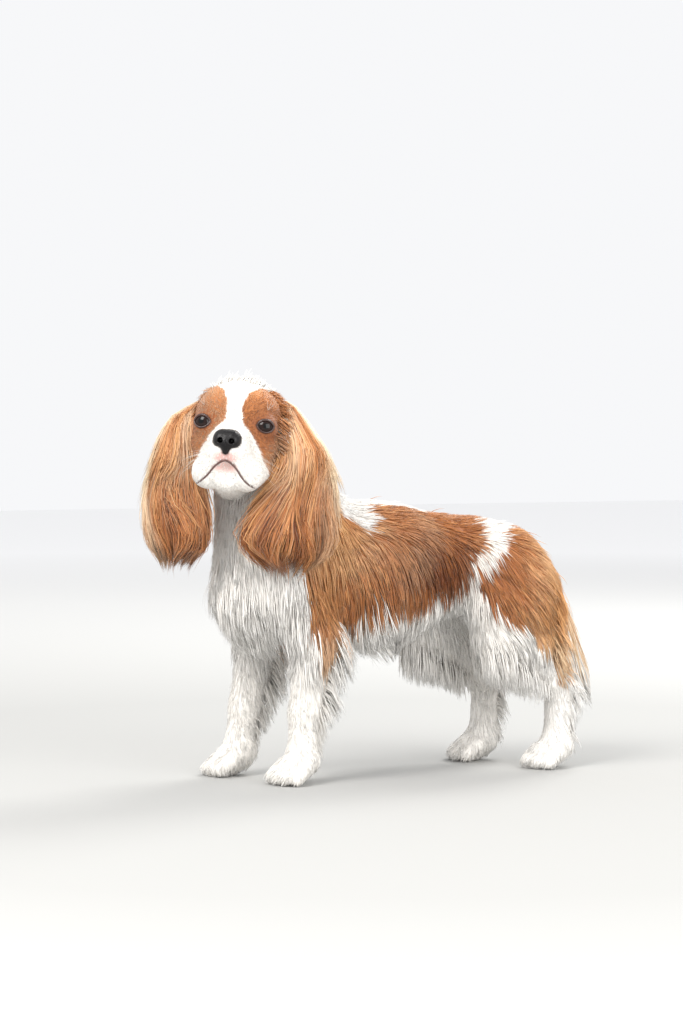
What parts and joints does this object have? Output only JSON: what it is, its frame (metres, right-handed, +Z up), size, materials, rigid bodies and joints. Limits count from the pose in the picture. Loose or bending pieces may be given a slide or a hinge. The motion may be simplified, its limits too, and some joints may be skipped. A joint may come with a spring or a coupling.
{
  "type": "cavalier king charles spaniel",
  "caption": "Life-size still model of a chestnut and white spaniel, standing with its head turned to its left.",
  "frame": {"origin": "on the floor, under the middle of the whole dog's box", "axes": "+X the way the chest faces, +Y the dog's left, +Z up"},
  "size_m": [0.5274, 0.199, 0.4459],
  "materials": {
    "white_coat": "long silky white hair, cream where it is thin",
    "chestnut_coat": "silky chestnut hair, lighter at its tips",
    "nose_leather": "moist black nose pad with fine bumps",
    "eye": "glossy dark brown"
  },
  "bodies": {
    "root": {"torso": "chestnut_coat", "neck": "white_coat", "head": "white_coat", "nose": "nose_leather", "eye_left": "eye", "eye_right": "eye", "ear_left": "chestnut_coat", "ear_right": "chestnut_coat", "foreleg_left": "white_coat", "foreleg_right": "white_coat", "hindleg_left": "white_coat", "hindleg_right": "white_coat", "hindfoot_left": "white_coat", "hindfoot_right": "white_coat", "tail": "chestnut_coat"}
  },
  "joints": []
}
